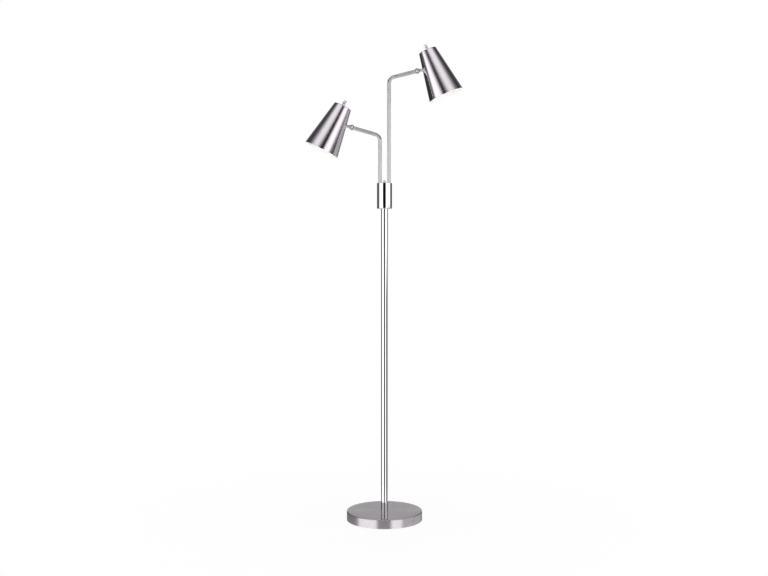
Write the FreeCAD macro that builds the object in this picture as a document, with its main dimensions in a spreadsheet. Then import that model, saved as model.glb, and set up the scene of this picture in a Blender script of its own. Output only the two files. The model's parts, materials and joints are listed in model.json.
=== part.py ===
import FreeCAD, Part
import math
import os
import Sketcher

# A floor lamp with two reading heads. A round weighted base carries a straight pole, the pole
# carries a cylindrical junction, and two bent arms of different height swivel in the junction.
# Each arm ends in a tilting knuckle with a cone shade, a lampholder and a rotary switch.
# Millimetres. Origin: centre of the underside, on the pole's axis. +Z up, +X towards the tall arm.

Vector = FreeCAD.Vector
Rotation = FreeCAD.Rotation
Placement = FreeCAD.Placement

# the driving dimensions, millimetres, and degrees where the name ends in deg
DIMENSIONS = {
    "base_dia": 250.0,            # outer diameter of the base
    "base_height": 30.0,          # floor to the top face of the base
    "cover_wall": 1.2,            # sheet of the spun base cover
    "cover_edge": 2.6,            # outer radius of the cover's rolled edge
    "cover_lift": 0.8,            # floor to the cover's lower edge
    "pad_thick": 2.0,             # foam pad under the base
    "pad_inset": 3.0,             # pad edge inside the bottom plate's edge
    "bottom_thick": 1.5,          # bottom plate
    "ring_width": 15.0,           # deep outer ring of the cast weight
    "web_thick": 12.8,            # middle of the cast weight
    "weight_chamfer": 2.2,        # bevel on the weight's upper edge
    "bush_height": 10.0,          # floor to the cord bush's axis
    "bush_dia": 9.0,              # cord bush in its hole
    "bush_bore": 6.4,             # bore for the supply cord
    "bush_flange_dia": 12.6,      # collar of the cord bush
    "bush_flange": 1.6,           # how far the collar stands out
    "bush_tail": 3.0,             # bush past the inside of the weight's ring
    "nipple_dia": 10.0,           # threaded tubes at both ends of the pole
    "nipple_bore": 7.0,           # wire way through the threaded tubes
    "nipple_hole_gap": 0.2,       # radial gap round a threaded tube in a plain hole
    "nut_height": 6.0,            # large hex nuts
    "nut_flats": 17.0,            # large hex nuts, across the flats
    "washer_dia": 30.0,           # washer under the base
    "washer_thick": 1.5,          # washer under the base
    "nipple_tail": 1.5,           # threaded tube past its nut
    "pole_dia": 22.6,             # outer diameter of the pole
    "pole_wall": 1.2,             # wall of the pole
    "pole_length": 998.0,         # base to junction
    "insert_length": 20.0,        # plugs in the pole's ends
    "insert_grip": 18.0,          # threaded tube inside a plug
    "sleeve_dia": 49.5,           # outer diameter of the junction
    "sleeve_height": 84.0,        # height of the junction
    "sleeve_wall": 1.2,           # wall of the junction
    "sleeve_edge": 1.1,           # rounded edges of the junction
    "cap_thick": 4.0,             # top and bottom discs of the junction
    "swivel_drop": 43.0,          # top of the junction to the swivel plate's top
    "swivel_thick": 3.0,          # swivel plate
    "splice_dia": 9.0,            # closed wire connectors
    "splice_height": 18.0,        # closed wire connectors
    "splice_radius": 16.6,        # connectors from the axis
    "rod_dia": 5.0,               # tie rod of the junction
    "rod_tail": 4.0,              # tie rod below the swivel plate
    "rod_grip": 8.0,              # tie rod inside the finial
    "finial_foot_dia": 15.0,      # collar of the finial
    "finial_foot": 3.4,           # height of the finial's collar
    "finial_dia": 7.4,            # stem of the finial
    "finial_height": 10.6,        # whole finial
    "arm_offset": 14.75,          # pole axis to each arm's axis
    "arm_dia": 12.7,              # arm tube
    "arm_wall": 1.2,              # arm tube
    "arm_bend": 22.0,             # centre-line radius of the bend
    "tall_reach": 91.8,           # arm axis to the pivot, tall arm
    "tall_lift": 366.0,           # junction's top to the pivot, tall arm
    "tall_rise_deg": 14.0,        # slope of the tall arm's end
    "tall_tilt_deg": 23.0,        # tilt of the tall arm's shade
    "short_reach": 92.2,          # arm axis to the pivot, short arm
    "short_lift": 182.2,          # junction's top to the pivot, short arm
    "short_rise_deg": 16.5,       # slope of the short arm's end
    "short_tilt_deg": 26.4,       # tilt of the short arm's shade
    "shank_dia": 8.0,             # swivel shank at an arm's foot
    "shank_grip": 16.0,           # swivel plug inside the arm
    "lead_bore": 5.2,             # wire way through an arm's plugs
    "lead_dia": 4.8,              # insulated lead inside an arm
    "lead_tail": 2.0,             # lead past the swivel plug's lower end
    "small_washer_dia": 16.0,     # friction washers at the swivel
    "small_washer": 1.0,          # friction washers at the swivel
    "small_nut_flats": 13.0,      # swivel and neck nuts
    "small_nut": 5.0,             # swivel and neck nuts
    "running_gap": 0.05,          # radial clearance of a turning fit
    "face_gap": 0.1,              # gap beside a turning flat face
    "knuckle_dia": 17.0,          # round ears of a knuckle
    "knuckle_width": 14.0,        # both ears and the tongue
    "tongue_thick": 5.0,          # tongue of a knuckle
    "tongue_gap": 0.5,            # tongue to the bottom of its slot
    "fork_stub": 11.5,            # pivot to the arm tube's end
    "fork_grip": 12.0,            # knuckle spigot inside the arm
    "pin_dia": 5.0,               # pivot screw
    "pin_head_dia": 9.0,          # pivot screw
    "pin_head": 2.4,              # pivot screw
    "pin_nut_flats": 8.0,         # nut of the pivot screw
    "pin_nut": 3.2,               # nut of the pivot screw
    "neck_dia": 10.0,             # neck between knuckle and shade
    "neck_length": 18.4,          # pivot to the shade's wall
    "neck_drop": 52.0,            # shade's top to the neck, along the axis
    "stud_dia": 8.0,              # threaded end of the neck
    "shade_top_dia": 59.0,        # shade at its closed end
    "shade_slope_deg": 10.42,     # half angle of the shade's cone
    "shade_length": 159.0,        # shade along its axis
    "shade_wall": 0.8,            # sheet of the shade
    "shade_edge": 1.8,            # rounded edge of the shade's top
    "switch_dia": 7.0,            # threaded collar of the switch
    "switch_reach": 4.6,          # switch collar above the shade
    "ring_nut_dia": 11.6,         # ring nut on the shade
    "ring_nut": 2.0,              # ring nut on the shade
    "spindle_dia": 3.6,           # turning spindle of the switch
    "knob_dia": 10.4,             # switch knob
    "knob_height": 17.6,          # switch knob
    "knob_lift": 0.3,             # knob above the ring nut
    "knob_edge": 1.6,             # rounded end of the knob
    "knob_well": 2.8,             # hollow under the knob
    "spindle_grip": 9.0,          # spindle inside the knob
    "holder_dia": 36.0,           # lampholder body
    "holder_length": 50.0,        # lampholder body
    "holder_head": 16.0,          # solid upper part of the lampholder
    "holder_bore": 30.0,          # hollow of the lampholder
    "switch_pocket": 9.0,         # depth of the switch's seat in the lampholder
    "switch_body_dia": 18.0,      # switch body inside the lampholder
    "shell_dia": 28.0,            # screw shell of the lampholder
    "shell_wall": 0.5,            # screw shell of the lampholder
    "shell_length": 27.0,         # screw shell of the lampholder
    "contact_dia": 8.0,           # centre contact
    "contact_thick": 2.2,         # centre contact
    "bulb_cap_gap": 0.3,          # bulb cap inside the screw shell
    "bulb_cap_length": 26.0,      # bulb cap
    "bulb_tip_dia": 9.0,          # bulb cap's contact end
    "bulb_tip": 3.0,              # bulb cap's contact end
    "bulb_dia": 48.0,             # bulb globe
    "bulb_slope_deg": 12.3,       # slope of the bulb's shoulder
    "bulb_wall": 1.2,             # bulb globe
}

# The tall arm stands on the +X side of the pole and the short arm on the other.
SIDES = ("tall", "short")

doc = FreeCAD.newDocument("FloorLamp")
sheet = doc.addObject("Spreadsheet::Sheet", "Dims")
for row, (name, value) in enumerate(DIMENSIONS.items(), start=1):
    sheet.set(f"A{row}", name)
    sheet.set(f"B{row}", str(value))
    sheet.setAlias(f"B{row}", name)
doc.recompute()

parts = []


def size(text):
    """Turn the short form #name into a reference to the sheet."""
    return text.replace("#", "Dims.")


def number(text):
    """Work an expression out now, for a first guess at a point."""
    found = sheet.evalExpression(text.replace("#", ""))
    return float(getattr(found, "Value", found))


def bind(thing, target, text):
    thing.setExpression(target, size(text))


def sign_of(side):
    return 1 if side == "tall" else -1


def plane(body, role):
    return [item for item in body.Origin.OriginFeatures if item.Role == role][0]


def put(thing, x="0", y="0", z="0", turn=None, about=Vector(0, 1, 0)):
    """Bind a piece's place, and its turn about one axis, to the sheet."""
    if turn is not None:
        # a positive first angle keeps the axis as given; the expression then sets the real one
        thing.Placement = Placement(Vector(0, 0, 0), Rotation(about, 1.0))
        bind(thing, "Placement.Rotation.Angle", turn)
    for axis, text in (("x", x), ("y", y), ("z", z)):
        if text != "0":
            bind(thing, f"Placement.Base.{axis}", text)
    return thing


def keep(thing, label):
    """Name a finished piece and put it on the list of pieces to write out."""
    thing.Label = label
    parts.append(thing)
    return thing


def hold_point(sketch, index, vertex, x, y):
    """Tie one sketch vertex to two expressions, or to an axis where one of them is zero."""
    if x == "0":
        sketch.addConstraint(Sketcher.Constraint("PointOnObject", index, vertex, -2))
    else:
        rule = Sketcher.Constraint("DistanceX", -1, 1, index, vertex, number(x))
        bind(sketch, f"Constraints[{sketch.addConstraint(rule)}]", x)
    if y == "0":
        sketch.addConstraint(Sketcher.Constraint("PointOnObject", index, vertex, -1))
    else:
        rule = Sketcher.Constraint("DistanceY", -1, 1, index, vertex, number(y))
        bind(sketch, f"Constraints[{sketch.addConstraint(rule)}]", y)


def draw(body, name, points, closed=True):
    """Draw an outline on the body's XZ plane. A point is (x, z), or (x, z, radius, side) where
    the stretch that arrives at it is an arc with its centre on that side, 1 for left."""
    sketch = body.newObject("Sketcher::SketchObject", name)
    sketch.AttachmentSupport = (plane(body, "XZ_Plane"), [""])
    sketch.MapMode = "FlatFace"
    spots = [Vector(number(point[0]), number(point[1]), 0) for point in points]
    count = len(points) if closed else len(points) - 1
    starts = []
    ends = []
    for index in range(count):
        first = spots[index]
        last = spots[(index + 1) % len(points)]
        target = points[(index + 1) % len(points)]
        if len(target) == 2:
            sketch.addGeometry(Part.LineSegment(first, last), False)
            starts.append(1)
            ends.append(2)
            continue
        radius = number(target[2])
        chord = last - first
        left = Vector(-chord.y, chord.x, 0).normalize()
        rise = math.sqrt(max(radius ** 2 - (chord.Length / 2) ** 2, 0.0))
        centre = (first + last) / 2 + left * rise * target[3]
        middle = centre - left * radius * target[3]
        sketch.addGeometry(Part.Arc(first, middle, last), False)
        begin = sketch.getPoint(index, 1)
        forward = (begin - first).Length < (begin - last).Length
        starts.append(1 if forward else 2)
        ends.append(2 if forward else 1)
        rule = Sketcher.Constraint("Radius", index, radius)
        bind(sketch, f"Constraints[{sketch.addConstraint(rule)}]", target[2])
    for index in range(count):
        hold_point(sketch, index, starts[index], points[index][0], points[index][1])
        if closed or index < count - 1:
            after = (index + 1) % count
            rule = Sketcher.Constraint("Coincident", index, ends[index], after, starts[after])
            sketch.addConstraint(rule)
    if not closed:
        hold_point(sketch, count - 1, ends[-1], points[-1][0], points[-1][1])
    return sketch


def lathe(name, outline):
    """A turned or spun piece: an outline of (radius, height) swept round the piece's Z axis."""
    body = doc.addObject("PartDesign::Body", name)
    sketch = draw(body, name + "Outline", outline)
    turned = body.newObject("PartDesign::Revolution", name + "Turned")
    turned.Profile = (sketch, [""])
    turned.ReferenceAxis = (sketch, ["V_Axis"])
    turned.Angle = 360
    return body


def ring(name, outer, inner, low, high):
    """A plain tube, washer or bored disc between two heights."""
    return lathe(name, [(inner, low), (outer, low), (outer, high), (inner, high)])


def disc(name, outer, low, high):
    return lathe(name, [("0", low), (outer, low), (outer, high), ("0", high)])


def cylinder(name, radius, length, x="0", y="0", z="0", turn=None, about=Vector(0, 1, 0)):
    thing = doc.addObject("Part::Cylinder", name)
    bind(thing, "Radius", radius)
    bind(thing, "Height", length)
    return put(thing, x, y, z, turn, about)


def box(name, x, y, z, low_x, low_y, low_z):
    thing = doc.addObject("Part::Box", name)
    bind(thing, "Length", x)
    bind(thing, "Width", y)
    bind(thing, "Height", z)
    return put(thing, low_x, low_y, low_z)


def cut(name, base, tool):
    thing = doc.addObject("Part::Cut", name)
    thing.Base = base
    thing.Tool = tool
    return thing


def common(name, base, tool):
    thing = doc.addObject("Part::Common", name)
    thing.Base = base
    thing.Tool = tool
    return thing


def fuse(name, base, tool):
    thing = doc.addObject("Part::Fuse", name)
    thing.Base = base
    thing.Tool = tool
    thing.Refine = True
    return thing


def hex_nut(name, flats, height, bore, low="0"):
    """A hexagon nut about the piece's Z axis."""
    blank = doc.addObject("Part::Prism", name + "Blank")
    blank.Polygon = 6
    bind(blank, "Circumradius", f"{flats} / 2 / cos(30)")
    bind(blank, "Height", height)
    put(blank, z=low)
    hole = cylinder(name + "Hole", f"{bore} / 2", height, z=low)
    return cut(name, blank, hole)


# ---------------------------------------------------------------- base

BASE_R = "#base_dia / 2"
INSIDE_R = "(#base_dia / 2 - #cover_wall)"
WEIGHT_R = "(#base_dia / 2 - #cover_wall - #nipple_hole_gap)"
COVER_UNDER = "(#base_height - #cover_wall)"
BOTTOM_TOP = "(#pad_thick + #bottom_thick)"
WEB_UNDER = "(#base_height - #cover_wall - #web_thick)"
NIPPLE_HOLE = "(#nipple_dia / 2 + #nipple_hole_gap)"


def base_cover():
    corner = "#base_dia / 2 - #cover_edge"
    shoulder = "#base_height - #cover_edge"
    inner = "#cover_edge - #cover_wall"
    shell = lathe("BaseCoverShell", [
        (NIPPLE_HOLE, "#base_height"),
        (NIPPLE_HOLE, COVER_UNDER),
        (corner, COVER_UNDER),
        (INSIDE_R, shoulder, inner, -1),
        (INSIDE_R, "#cover_lift"),
        (BASE_R, "#cover_lift"),
        (BASE_R, shoulder),
        (corner, "#base_height", "#cover_edge", 1),
    ])
    hole = cylinder("BaseCoverHole", "#bush_dia / 2", BASE_R, z="#bush_height",
                    turn="-90", about=Vector(1, 0, 0))
    keep(cut("BaseCover", shell, hole), "base_cover")


def base_weight():
    ring_inside = f"{WEIGHT_R} - #ring_width"
    casting = lathe("BaseWeightCasting", [
        (NIPPLE_HOLE, WEB_UNDER),
        (ring_inside, WEB_UNDER),
        (ring_inside, BOTTOM_TOP),
        (WEIGHT_R, BOTTOM_TOP),
        (WEIGHT_R, f"{COVER_UNDER} - #weight_chamfer"),
        (f"{WEIGHT_R} - #weight_chamfer", COVER_UNDER),
        (NIPPLE_HOLE, COVER_UNDER),
    ])
    channel = cylinder("BaseWeightChannel", "#bush_dia / 2 + #nipple_hole_gap", BASE_R,
                       z="#bush_height", turn="-90", about=Vector(1, 0, 0))
    keep(cut("BaseWeight", casting, channel), "base_weight")


def cord_bush():
    """The grommet that the supply cord would leave through, at the back of the rim."""
    inner_end = f"{WEIGHT_R} - #ring_width - #bush_tail"
    length = f"{BASE_R} - ({inner_end})"
    mouth = f"{length} + #bush_flange"
    barrel = ring("CordBushBarrel", "#bush_dia / 2", "#bush_bore / 2", "0", mouth)
    collar = ring("CordBushCollar", "#bush_flange_dia / 2", "#bush_bore / 2",
                  f"{length} - #bush_flange", mouth)
    for piece in (barrel, collar):
        put(piece, y=inner_end, z="#bush_height", turn="-90", about=Vector(1, 0, 0))
    seated = cut("CordBushSeated", collar, cylinder("CordBushRim", BASE_R, "#base_height"))
    keep(fuse("CordBush", barrel, seated), "cord_bush")


def base_fixings():
    keep(disc("BasePad", f"{WEIGHT_R} - #pad_inset", "0", "#pad_thick"), "base_pad")
    keep(disc("BottomPlate", WEIGHT_R, "#pad_thick", BOTTOM_TOP), "bottom_plate")
    washer_under = f"{WEB_UNDER} - #washer_thick"
    washer = ring("BaseWasher", "#washer_dia / 2", "#nipple_dia / 2", washer_under, WEB_UNDER)
    keep(washer, "base_washer")
    nut = hex_nut("BaseNut", "#nut_flats", "#nut_height", "#nipple_dia")
    put(nut, z=f"{washer_under} - #nut_height")
    keep(nut, "base_nut")
    low = f"{washer_under} - #nut_height - #nipple_tail"
    nipple = ring("BaseNipple", "#nipple_dia / 2", "#nipple_bore / 2", low,
                  "#base_height + #insert_grip")
    keep(nipple, "base_nipple")


# ---------------------------------------------------------------- pole and junction

POLE_TOP = "(#base_height + #pole_length)"
POLE_INSIDE = "(#pole_dia / 2 - #pole_wall)"
SLEEVE_TOP = "(#base_height + #pole_length + #sleeve_height)"
SLEEVE_INSIDE = "(#sleeve_dia / 2 - #sleeve_wall)"
SWIVEL_TOP = "(#base_height + #pole_length + #sleeve_height - #swivel_drop)"


def pole():
    keep(ring("PoleTube", "#pole_dia / 2", POLE_INSIDE, "#base_height", POLE_TOP), "pole_tube")
    foot = ring("PoleFootPlug", POLE_INSIDE, "#nipple_dia / 2", "#base_height",
                "#base_height + #insert_length")
    keep(foot, "pole_foot_plug")
    head = ring("PoleHeadPlug", POLE_INSIDE, "#nipple_dia / 2", f"{POLE_TOP} - #insert_length",
                POLE_TOP)
    keep(head, "pole_head_plug")


def junction():
    outer = "#sleeve_dia / 2"
    rounded = "#sleeve_dia / 2 - #sleeve_edge"
    sleeve = lathe("JunctionSleeve", [
        (SLEEVE_INSIDE, POLE_TOP),
        (rounded, POLE_TOP),
        (outer, f"{POLE_TOP} + #sleeve_edge", "#sleeve_edge", 1),
        (outer, f"{SLEEVE_TOP} - #sleeve_edge"),
        (rounded, SLEEVE_TOP, "#sleeve_edge", 1),
        (SLEEVE_INSIDE, SLEEVE_TOP),
    ])
    keep(sleeve, "junction_sleeve")
    floor = f"{POLE_TOP} + #cap_thick"
    keep(ring("JunctionFloor", SLEEVE_INSIDE, "#nipple_dia / 2", POLE_TOP, floor),
         "junction_floor")
    nut = hex_nut("JunctionNut", "#nut_flats", "#nut_height", "#nipple_dia")
    put(nut, z=floor)
    keep(nut, "junction_nut")
    nipple = ring("JunctionNipple", "#nipple_dia / 2", "#nipple_bore / 2",
                  f"{POLE_TOP} - #insert_grip", f"{floor} + #nut_height + #nipple_tail")
    keep(nipple, "junction_nipple")
    pair = []
    for name, side in (("Near", "-"), ("Far", "")):
        pair.append(cylinder(f"Splice{name}", "#splice_dia / 2", "#splice_height",
                             y=f"{side}#splice_radius", z=floor))
    keep(fuse("SpliceCaps", pair[0], pair[1]), "splice_caps")


def drilled_disc(name, top, thick, hole_radius):
    """A disc pressed into the junction, with a hole for each arm and one for the tie rod."""
    blank = ring(name + "Blank", SLEEVE_INSIDE, "#rod_dia / 2", f"{top} - {thick}", top)
    for side in SIDES:
        hole = cylinder(f"{name}{side.title()}Hole", hole_radius, thick,
                        x=f"{sign_of(side)} * #arm_offset", z=f"{top} - {thick}")
        blank = cut(f"{name}{side.title()}Drilled", blank, hole)
    return blank


def junction_discs():
    plate = drilled_disc("SwivelPlate", SWIVEL_TOP, "#swivel_thick",
                         "#shank_dia / 2 + #running_gap")
    keep(plate, "swivel_plate")
    lid = drilled_disc("JunctionLid", SLEEVE_TOP, "#cap_thick", "#arm_dia / 2 + #running_gap")
    keep(lid, "junction_lid")
    rod = disc("TieRod", "#rod_dia / 2", f"{SWIVEL_TOP} - #swivel_thick - #rod_tail",
               f"{SLEEVE_TOP} + #rod_grip")
    keep(rod, "tie_rod")
    foot_edge = "#finial_foot / 2"
    stem_edge = "#finial_dia / 4"
    finial = lathe("Finial", [
        ("#rod_dia / 2", SLEEVE_TOP),
        ("#finial_foot_dia / 2", SLEEVE_TOP),
        ("#finial_foot_dia / 2", f"{SLEEVE_TOP} + {foot_edge}"),
        (f"#finial_foot_dia / 2 - {foot_edge}", f"{SLEEVE_TOP} + #finial_foot", foot_edge, 1),
        ("#finial_dia / 2", f"{SLEEVE_TOP} + #finial_foot"),
        ("#finial_dia / 2", f"{SLEEVE_TOP} + #finial_height - {stem_edge}"),
        (f"#finial_dia / 2 - {stem_edge}", f"{SLEEVE_TOP} + #finial_height", stem_edge, 1),
        ("0", f"{SLEEVE_TOP} + #finial_height"),
        ("0", f"{SLEEVE_TOP} + #rod_grip"),
        ("#rod_dia / 2", f"{SLEEVE_TOP} + #rod_grip"),
    ])
    keep(finial, "finial")


# ---------------------------------------------------------------- arms

ARM_INSIDE = "(#arm_dia / 2 - #arm_wall)"
ARM_FOOT = f"({SWIVEL_TOP} + #small_washer)"
SHANK_END = (f"({SWIVEL_TOP} - #swivel_thick - #small_washer - #small_nut - #nipple_tail)")


def arm_run(name, side, low, stub, outer, inner=None):
    """A round section run along an arm's centre line: up, round the bend and out along the
    slope, from the height low to the distance stub short of the pivot."""
    sign = sign_of(side)
    reach = f"#{side}_reach"
    rise = f"#{side}_rise_deg"
    corner = f"({pivot_z(side)} - {reach} * tan({rise}))"
    tangent = f"(#arm_bend * tan(45 - {rise} / 2))"
    body = doc.addObject("PartDesign::Body", name)
    path = draw(body, name + "Path", [
        ("0", low),
        ("0", f"{corner} - {tangent}"),
        (f"{sign} * {tangent} * cos({rise})", f"{corner} + {tangent} * sin({rise})",
         "#arm_bend", -sign),
        (f"{sign} * ({reach} - {stub} * cos({rise}))",
         f"{pivot_z(side)} - {stub} * sin({rise})"),
    ], closed=False)
    section = body.newObject("Sketcher::SketchObject", name + "Section")
    section.AttachmentSupport = (plane(body, "XY_Plane"), [""])
    section.MapMode = "FlatFace"
    bind(section, "AttachmentOffset.Base.z", low)
    for index, radius in enumerate([outer] if inner is None else [outer, inner]):
        circle = Part.Circle(Vector(0, 0, 0), Vector(0, 0, 1), number(radius))
        section.addGeometry(circle, False)
        section.addConstraint(Sketcher.Constraint("Coincident", index, 3, -1, 1))
        rule = Sketcher.Constraint("Radius", index, number(radius))
        bind(section, f"Constraints[{section.addConstraint(rule)}]", radius)
    pipe = body.newObject("PartDesign::AdditivePipe", name + "Pipe")
    pipe.Profile = (section, [""])
    pipe.Spine = (path, [""])
    return put(body, x=f"{sign} * #arm_offset")


def swivel_foot(side):
    """What fixes an arm's foot in the swivel plate and lets it turn."""
    sign = sign_of(side)
    title = side.title()
    axis = f"{sign} * #arm_offset"
    shank = "#shank_dia / 2"
    plug = lathe(f"{title}SwivelPlug", [
        ("#lead_bore / 2", SHANK_END),
        (shank, SHANK_END),
        (shank, ARM_FOOT),
        (ARM_INSIDE, ARM_FOOT),
        (ARM_INSIDE, f"{ARM_FOOT} + #shank_grip"),
        ("#lead_bore / 2", f"{ARM_FOOT} + #shank_grip"),
    ])
    keep(put(plug, x=axis), f"{side}_swivel_plug")
    under = f"{SWIVEL_TOP} - #swivel_thick - #small_washer"
    upper = ring(f"{title}WasherUpper", "#small_washer_dia / 2", shank, SWIVEL_TOP, ARM_FOOT)
    lower = ring(f"{title}WasherLower", "#small_washer_dia / 2", shank, under,
                 f"{SWIVEL_TOP} - #swivel_thick")
    for washer in (upper, lower):
        put(washer, x=axis)
    keep(fuse(f"{title}SwivelWashers", upper, lower), f"{side}_swivel_washers")
    nut = hex_nut(f"{title}SwivelNut", "#small_nut_flats", "#small_nut", "#shank_dia")
    put(nut, x=axis, z=f"{under} - #small_nut")
    keep(nut, f"{side}_swivel_nut")


def pivot_z(side):
    return f"({SLEEVE_TOP} + #{side}_lift)"


def pivot_x(side):
    return f"{sign_of(side)} * (#arm_offset + #{side}_reach)"


def fork(side):
    """The arm's half of the knuckle: a spigot in the tube and two round ears. It is drawn with
    its pivot at the origin and the arm's direction along +Z."""
    sign = sign_of(side)
    title = side.title()
    spigot = cylinder(f"{title}Spigot", ARM_INSIDE, "#fork_grip + #fork_stub",
                      z="-#fork_grip - #fork_stub")
    collar = cylinder(f"{title}Collar", "#arm_dia / 2", "#fork_stub", z="-#fork_stub")
    ears = cylinder(f"{title}Ears", "#knuckle_dia / 2", "#knuckle_width",
                    y="#knuckle_width / 2", turn="90", about=Vector(1, 0, 0))
    solid = fuse(f"{title}ForkStem", fuse(f"{title}ForkNeck", spigot, collar), ears)
    slot_depth = "(#knuckle_dia / 2 + #tongue_gap)"
    slot_width = "(#tongue_thick + 2 * #face_gap)"
    slot = box(f"{title}Slot", "2 * #knuckle_dia", slot_width, f"2 * {slot_depth}",
               "-#knuckle_dia", f"-{slot_width} / 2", f"-{slot_depth}")
    pin = cylinder(f"{title}ForkPinHole", "#pin_dia / 2", "#knuckle_width",
                   y="#knuckle_width / 2", turn="90", about=Vector(1, 0, 0))
    wire = cylinder(f"{title}ForkWireHole", "#lead_bore / 2", "#fork_grip",
                    z="-#fork_grip - #fork_stub")
    for index, tool in enumerate((slot, pin, wire)):
        solid = cut(f"{title}ForkCut{index}", solid, tool)
    put(solid, x=pivot_x(side), z=pivot_z(side), turn=f"{sign} * (90 - #{side}_rise_deg)")
    keep(solid, f"{side}_fork")


def pivot_screw(side):
    """The knuckle's screw, its head towards the front, and the nut behind."""
    title = side.title()
    half = "#knuckle_width / 2"
    screw = lathe(f"{title}PivotScrew", [
        ("0", f"-{half} - #pin_nut"),
        ("#pin_dia / 2", f"-{half} - #pin_nut"),
        ("#pin_dia / 2", half),
        ("#pin_head_dia / 2", half),
        ("#pin_head_dia / 2", f"{half} + #pin_head / 2"),
        ("#pin_head_dia / 2 - #pin_head / 2", f"{half} + #pin_head", "#pin_head / 2", 1),
        ("0", f"{half} + #pin_head"),
    ])
    nut = hex_nut(f"{title}PivotNut", "#pin_nut_flats", "#pin_nut", "#pin_dia",
                  low=f"-{half} - #pin_nut")
    for piece, label in ((screw, "pivot_screw"), (nut, "pivot_nut")):
        put(piece, x=pivot_x(side), z=pivot_z(side), turn="90", about=Vector(1, 0, 0))
        keep(piece, f"{side}_{label}")


def arm(side):
    title = side.title()
    tube = arm_run(f"{title}ArmTube", side, ARM_FOOT, "#fork_stub", "#arm_dia / 2", ARM_INSIDE)
    keep(tube, f"{side}_arm_tube")
    lead = arm_run(f"{title}ArmLead", side, f"{SHANK_END} - #lead_tail", "#fork_stub",
                   "#lead_dia / 2")
    keep(lead, f"{side}_arm_lead")
    swivel_foot(side)
    fork(side)
    pivot_screw(side)


# ---------------------------------------------------------------- heads
# A head is drawn with the centre of its closed top at the origin and its mouth towards -Z.

SHADE_TOP_R = "#shade_top_dia / 2"
SHADE_MOUTH_R = "(#shade_top_dia / 2 + #shade_length * tan(#shade_slope_deg))"
NECK_R = "(#shade_top_dia / 2 + #neck_drop * tan(#shade_slope_deg))"
PIVOT_OUT = f"({NECK_R} + #neck_length * cos(#shade_slope_deg))"
PIVOT_DOWN = "(#neck_drop - #neck_length * sin(#shade_slope_deg))"
HOLDER_END = "(-#shade_wall - #holder_length)"
HOLDER_HOLLOW = "(-#shade_wall - #holder_head)"
SHELL_IN = "(#shell_dia / 2 - #shell_wall)"
BULB_CAP_R = "(#shell_dia / 2 - #shell_wall - #bulb_cap_gap)"
BULB_TOP = "(-#shade_wall - #holder_head - #contact_thick)"
BULB_NECK = f"({BULB_TOP} - #bulb_cap_length)"


def place_head(piece, side):
    """Put a piece drawn in the head's frame where the tilted head is."""
    sign = sign_of(side)
    tilt = f"#{side}_tilt_deg"
    out = f"#{side}_reach + {PIVOT_OUT} * cos({tilt}) - {PIVOT_DOWN} * sin({tilt})"
    up = f"{pivot_z(side)} + {PIVOT_OUT} * sin({tilt}) + {PIVOT_DOWN} * cos({tilt})"
    return put(piece, x=f"{sign} * (#arm_offset + {out})", z=up, turn=f"{-sign} * {tilt}")


def place_neck(piece, side, along="0"):
    """Put a piece drawn along the neck, its origin at a distance along the neck from the pivot
    and the shade towards +Z."""
    sign = sign_of(side)
    lean = f"(#{side}_tilt_deg - #shade_slope_deg)"
    out = f"{sign} * (#arm_offset + #{side}_reach + {along} * cos({lean}))"
    up = f"{pivot_z(side)} + {along} * sin({lean})"
    return put(piece, x=out, z=up, turn=f"{sign} * (90 - {lean})")


def cone(name, side, inset):
    """The shade's solid cone, its surface moved in by inset and run on past its ends."""
    shift = f"{inset} / cos(#shade_slope_deg)"
    over = "#shade_length * tan(#shade_slope_deg)"
    solid = lathe(name, [
        ("0", "-2 * #shade_length"),
        (f"{SHADE_MOUTH_R} + {over} - {shift}", "-2 * #shade_length"),
        (f"{SHADE_TOP_R} - {shift}", "0"),
        ("0", "0"),
    ])
    return place_head(solid, side)


def shade(side):
    title = side.title()
    thick = "#shade_wall / cos(#shade_slope_deg)"
    slope_in = "#shade_edge * tan(45 - #shade_slope_deg / 2)"
    start = (f"{SHADE_TOP_R} - {slope_in}", "0")
    end = (f"{SHADE_TOP_R} + {slope_in} * sin(#shade_slope_deg)",
           f"-{slope_in} * cos(#shade_slope_deg)")
    inner = "(#shade_edge - #shade_wall)"
    inner_in = f"{inner} * tan(45 - #shade_slope_deg / 2)"
    inner_r = f"({SHADE_TOP_R} - {thick} + #shade_wall * tan(#shade_slope_deg))"
    inner_start = (f"{inner_r} - {inner_in}", "-#shade_wall")
    inner_end = (f"{inner_r} + {inner_in} * sin(#shade_slope_deg)",
                 f"-#shade_wall - {inner_in} * cos(#shade_slope_deg)")
    shell = lathe(f"{title}ShadeShell", [
        ("#switch_dia / 2", "-#shade_wall"),
        inner_start,
        inner_end + (inner, -1),
        (f"{SHADE_MOUTH_R} - {thick}", "-#shade_length"),
        (SHADE_MOUTH_R, "-#shade_length"),
        end,
        start + ("#shade_edge", 1),
        ("#switch_dia / 2", "0"),
    ])
    place_head(shell, side)
    hole = cylinder(f"{title}ShadeHole", "#stud_dia / 2", "#neck_length")
    place_neck(hole, side, "#neck_length / 2")
    keep(cut(f"{title}Shade", shell, hole), f"{side}_shade")


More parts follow.
